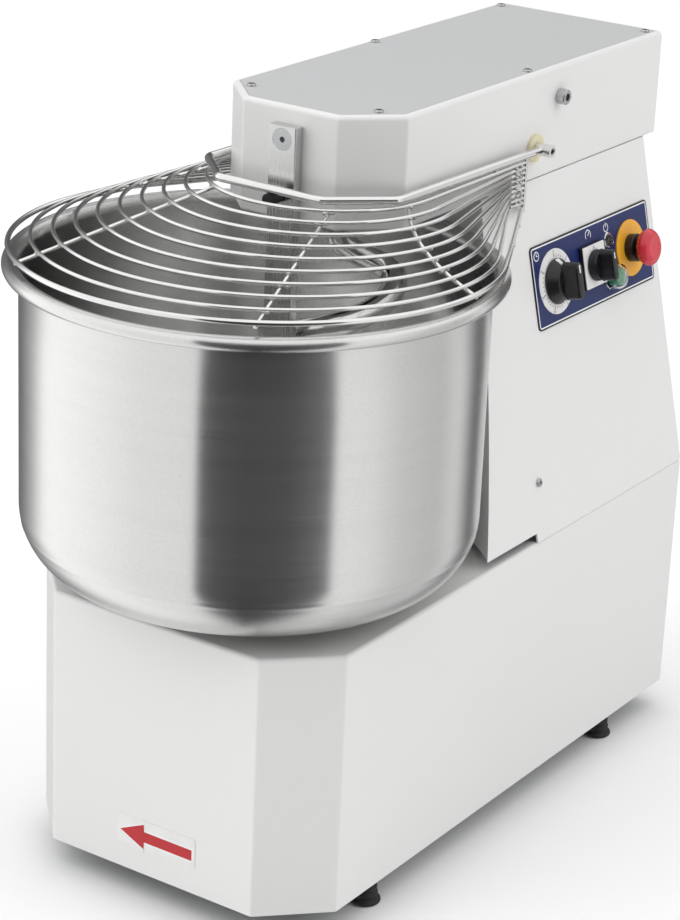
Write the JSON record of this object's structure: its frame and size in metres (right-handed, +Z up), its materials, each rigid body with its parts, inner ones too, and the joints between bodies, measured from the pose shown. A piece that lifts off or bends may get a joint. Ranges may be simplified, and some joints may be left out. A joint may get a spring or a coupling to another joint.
{
  "type": "spiral dough mixer",
  "caption": "Floor-standing spiral dough mixer with a fixed head, rotating steel bowl, spiral, breaker bar, hinged wire guard and a side control panel.",
  "frame": {"origin": "on the floor, at the middle of the bounding box", "axes": "+Z up, -Y the bowl end (front), +X the control side"},
  "size_m": [0.4819, 0.836, 0.7716],
  "materials": {
    "white_paint": "fine white powder coat",
    "grey_paint": "satin light grey powder coat",
    "stainless": "brushed stainless steel",
    "polished": "polished stainless wire",
    "steel": "turned and zinc-plated steel",
    "frame_steel": "primed structural steel",
    "cast": "cast iron, machined faces",
    "motor_paint": "blue-grey motor enamel",
    "rubber": "black rubber",
    "nylon": "cream nylon",
    "black_plastic": "black moulded plastic",
    "panel_blue": "printed blue panel foil",
    "dial_white": "white dial print",
    "lamp_clear": "clear lamp lens",
    "button_green": "green translucent button",
    "bezel_clear": "clear rubber boot and bezel",
    "disc_yellow": "yellow plate",
    "stop_red": "red mushroom cap",
    "label_print": "clear label with red arrow"
  },
  "bodies": {
    "machine": {"base_shell": "white_paint", "column_shell": "white_paint", "rear_cover": "white_paint", "head_shell": "white_paint", "head_cover": "grey_paint", "breaker_bar": "stainless", "bar_screw": "steel", "casing_screws": "steel", "head_side_bolts": "steel", "guard_pins": "steel", "foot_bolts": "steel", "bowl_chain": "steel", "counter_chain": "steel", "spiral_chain": "steel", "ball_bearings": "steel", "base_floor": "frame_steel", "frame_cheeks": "frame_steel", "head_arm": "frame_steel", "bowl_support": "frame_steel", "bar_backing": "frame_steel", "motor_mount": "frame_steel", "bowl_housing": "cast", "spiral_housing": "cast", "flange_bearings": "cast", "motor_body": "motor_paint", "feet": "rubber", "drive_belts": "rubber", "guard_stop": "rubber", "spiral_seal": "rubber", "guard_washers": "nylon", "selector_plate": "black_plastic", "estop_collar": "black_plastic", "switch_bodies": "black_plastic", "cable_gland": "black_plastic", "panel_plate": "panel_blue", "timer_dial": "dial_white", "power_lamp": "lamp_clear", "start_bezel": "bezel_clear", "estop_disc": "disc_yellow", "direction_label": "label_print"},
    "bowl": {"bowl": "stainless", "bowl_shaft": "steel", "bowl_sprocket": "steel"},
    "counter_shaft": {"counter_shaft": "steel", "counter_sprocket": "steel"},
    "main_shaft": {"main_shaft": "steel", "main_sprockets": "steel", "main_pulley": "cast"},
    "motor_rotor": {"motor_shaft": "steel", "motor_pulley": "cast"},
    "spiral": {"spiral": "stainless", "spiral_sprocket": "steel"},
    "guard": {"guard_frame": "polished", "guard_wires": "polished", "guard_ribs": "polished"},
    "timer_knob": {"timer_knob": "black_plastic"},
    "selector_knob": {"selector_knob": "black_plastic"},
    "start_button": {"start_button": "button_green"},
    "estop_stem": {"estop_stem": "black_plastic"},
    "estop_cap": {"estop_cap": "stop_red"}
  },
  "joints": [
    {"name": "bowl_spin", "type": "hinge", "parent": "machine", "child": "bowl", "pos_m": [0, -0.177, 0.3165], "axis": [0, 0, -1], "continuous": true},
    {"name": "counter_spin", "type": "hinge", "parent": "machine", "child": "counter_shaft", "pos_m": [0.075, 0.038, 0.09], "axis": [0, 0, -1], "continuous": true},
    {"name": "main_spin", "type": "hinge", "parent": "machine", "child": "main_shaft", "pos_m": [0, 0.168, 0.4], "axis": [0, 0, -1], "continuous": true},
    {"name": "motor_spin", "type": "hinge", "parent": "machine", "child": "motor_rotor", "pos_m": [0, 0.303, 0.45], "axis": [0, 0, -1], "continuous": true},
    {"name": "spiral_spin", "type": "hinge", "parent": "machine", "child": "spiral", "pos_m": [0, -0.047, 0.66], "axis": [0, 0, -1], "continuous": true},
    {"name": "guard_lift", "type": "hinge", "parent": "machine", "child": "guard", "pos_m": [0, 0.155, 0.691], "axis": [-1, 0, 0], "range_deg": [0, 80]},
    {"name": "timer_turn", "type": "hinge", "parent": "machine", "child": "timer_knob", "pos_m": [0.12904, 0.175, 0.55057], "axis": [-0.9758, 0, -0.2188], "range_deg": [0, 300]},
    {"name": "speed_turn", "type": "hinge", "parent": "machine", "child": "selector_knob", "pos_m": [0.13314, 0.249, 0.55149], "axis": [-0.9758, 0, -0.2188], "range_deg": [0, 90]},
    {"name": "start_push", "type": "slide", "parent": "machine", "child": "start_button", "axis": [-0.9758, 0, -0.2188], "range_m": [0, 0.004], "stiffness_N_per_m": 600, "springref_m": -0.002},
    {"name": "estop_push", "type": "slide", "parent": "machine", "child": "estop_stem", "axis": [-0.9758, 0, -0.2188], "range_m": [0, 0.005]},
    {"name": "estop_twist", "type": "hinge", "parent": "estop_stem", "child": "estop_cap", "pos_m": [0.14465, 0.3325, 0.55407], "axis": [-0.9758, 0, -0.2188], "range_deg": [0, 45]}
  ],
  "couplings": [
    {"joint": "counter_spin", "follows": "bowl_spin", "ratio": 5.5},
    {"joint": "main_spin", "follows": "bowl_spin", "ratio": 23.571},
    {"joint": "spiral_spin", "follows": "bowl_spin", "ratio": 9.1667},
    {"joint": "motor_spin", "follows": "bowl_spin", "ratio": 62.857}
  ]
}
